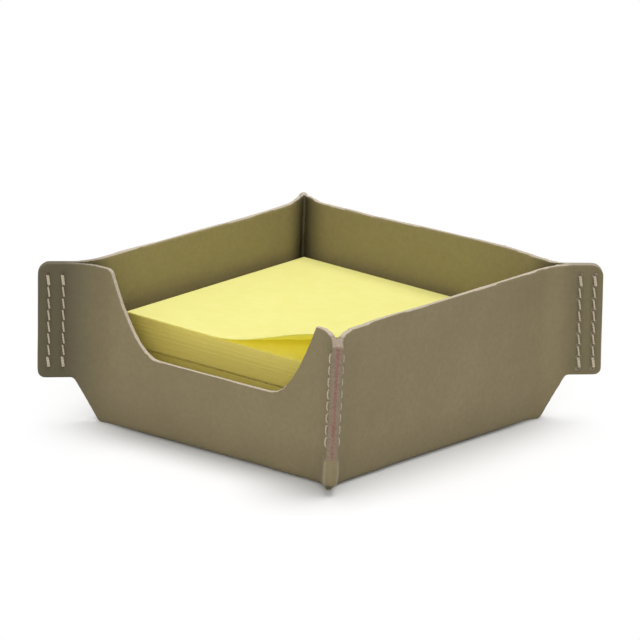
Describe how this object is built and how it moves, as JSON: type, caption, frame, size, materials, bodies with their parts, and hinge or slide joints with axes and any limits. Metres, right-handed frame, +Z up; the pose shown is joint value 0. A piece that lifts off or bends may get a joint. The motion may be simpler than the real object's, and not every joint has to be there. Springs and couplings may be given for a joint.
{
  "type": "memo note holder",
  "caption": "Open square leather tray with pinched and sewn corner ears and a wide finger notch, holding a stack of sticky note pads whose top sheet curls up at one corner.",
  "frame": {"origin": "centre of the tray's base, on the surface that it stands on", "axes": "+Z up, -Y through the wall with the finger notch, the wide ears at the +X +Y and -X -Y corners"},
  "size_m": [0.1121, 0.1121, 0.0454],
  "materials": {
    "leather": "smooth full-grain leather, olive brown, matte, raw cut edges",
    "thread": "waxed twisted thread, beige",
    "pad_paper": "cut edges of yellow note paper, matte",
    "backing_paper": "release-coated backing sheet, yellow",
    "note_paper": "plain yellow note paper, matte"
  },
  "bodies": {
    "tray": {"leather_tray": "leather", "front_seam_thread": "thread", "back_seam_thread": "thread", "left_ear_outer_thread": "thread", "left_ear_inner_thread": "thread", "right_ear_outer_thread": "thread", "right_ear_inner_thread": "thread"},
    "pad_lower": {"memo_pad_lower": "pad_paper", "lower_backing": "backing_paper"},
    "pad_middle": {"memo_pad_middle": "pad_paper", "middle_backing": "backing_paper"},
    "pad_upper": {"memo_pad_upper": "pad_paper", "upper_backing": "backing_paper"},
    "loose_note": {"top_sheet": "note_paper"}
  },
  "joints": [
    {"name": "lower_pad_lift", "type": "slide", "parent": "tray", "child": "pad_lower", "axis": [0, 0, 1], "range_m": [0, 0.05]},
    {"name": "middle_pad_lift", "type": "slide", "parent": "pad_lower", "child": "pad_middle", "axis": [0, 0, 1], "range_m": [0, 0.04]},
    {"name": "upper_pad_lift", "type": "slide", "parent": "pad_middle", "child": "pad_upper", "axis": [0, 0, 1], "range_m": [0, 0.03]},
    {"name": "top_sheet_peel", "type": "hinge", "parent": "pad_upper", "child": "loose_note", "pos_m": [-0.04089, 0.00251, 0.0298], "axis": [0.0262, -0.9997, 0], "range_deg": [0, 90]}
  ]
}
